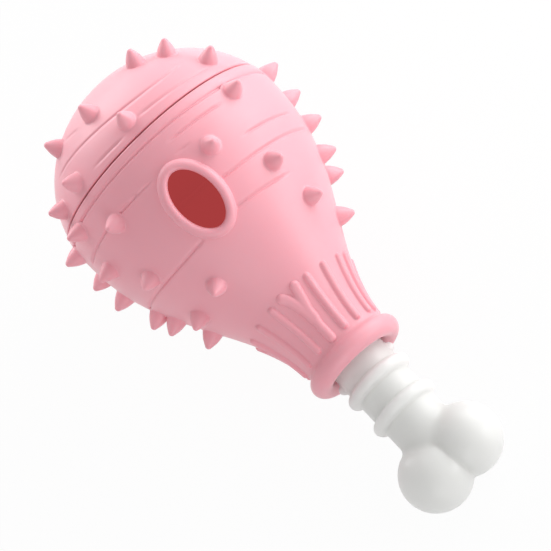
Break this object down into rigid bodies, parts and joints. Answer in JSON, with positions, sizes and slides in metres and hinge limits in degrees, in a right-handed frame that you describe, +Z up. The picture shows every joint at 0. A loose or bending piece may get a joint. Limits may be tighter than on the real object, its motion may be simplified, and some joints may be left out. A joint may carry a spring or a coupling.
{
  "type": "rubber chew toy",
  "caption": "Hollow drumstick-shaped rubber chew toy with spikes, an oval treat port, a pull-off dome cap and a swivelling plastic bone handle.",
  "frame": {"origin": "on the floor, under the middle of the toy's box as it lies at rest", "axes": "+X from the dome cap towards the bone's knobs, +Z up through the treat port's side; the toy's own axis falls towards the knobs by about 15 degrees"},
  "size_m": [0.1816, 0.0936, 0.0927],
  "materials": {
    "pink_rubber": "satin",
    "white_plastic": "satin"
  },
  "bodies": {
    "body": {"body_shell": "pink_rubber"},
    "cap": {"cap_shell": "pink_rubber"},
    "bone": {"bone_handle": "white_plastic"}
  },
  "joints": [
    {"name": "cap_pull", "type": "slide", "parent": "body", "child": "cap", "axis": [-0.9649, 0, 0.2625], "range_m": [0, 0.04]},
    {"name": "bone_swivel", "type": "hinge", "parent": "body", "child": "bone", "pos_m": [-0.05439, 0.00003, 0.04844], "axis": [0.9649, 0, -0.2625], "continuous": true}
  ]
}
